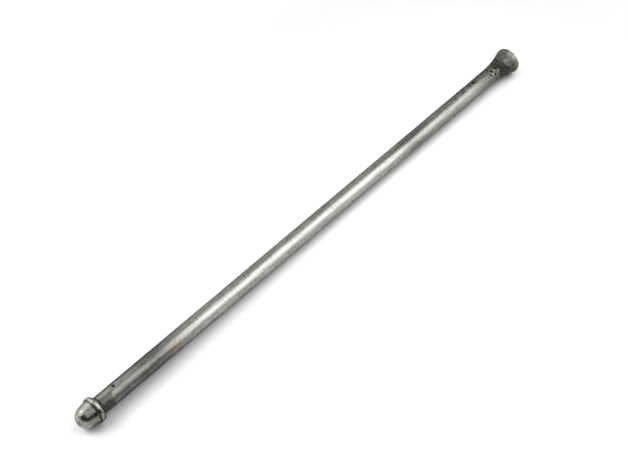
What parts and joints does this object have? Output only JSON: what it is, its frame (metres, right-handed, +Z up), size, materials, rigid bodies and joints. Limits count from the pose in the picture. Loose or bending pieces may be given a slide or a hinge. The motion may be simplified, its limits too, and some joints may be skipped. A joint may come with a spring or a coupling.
{
  "type": "engine pushrod",
  "caption": "Slim round steel pushrod with a ball tip behind which sits a crowned collar, a ground straight shank, and a flared cup that seats a rocker's adjuster ball.",
  "frame": {"origin": "centre of the ball at the tappet end, on the rod's axis", "axes": "+X along the rod from the ball to the cup's mouth, +Z up with the rod lying on its side"},
  "size_m": [0.2245, 0.0102, 0.0102],
  "materials": {
    "rod_steel": "bare ground and turned steel, satin bright along the shank, with dark heat scale, stains and small pits at the two necks"
  },
  "bodies": {
    "root": {"pushrod": "rod_steel"}
  },
  "joints": []
}
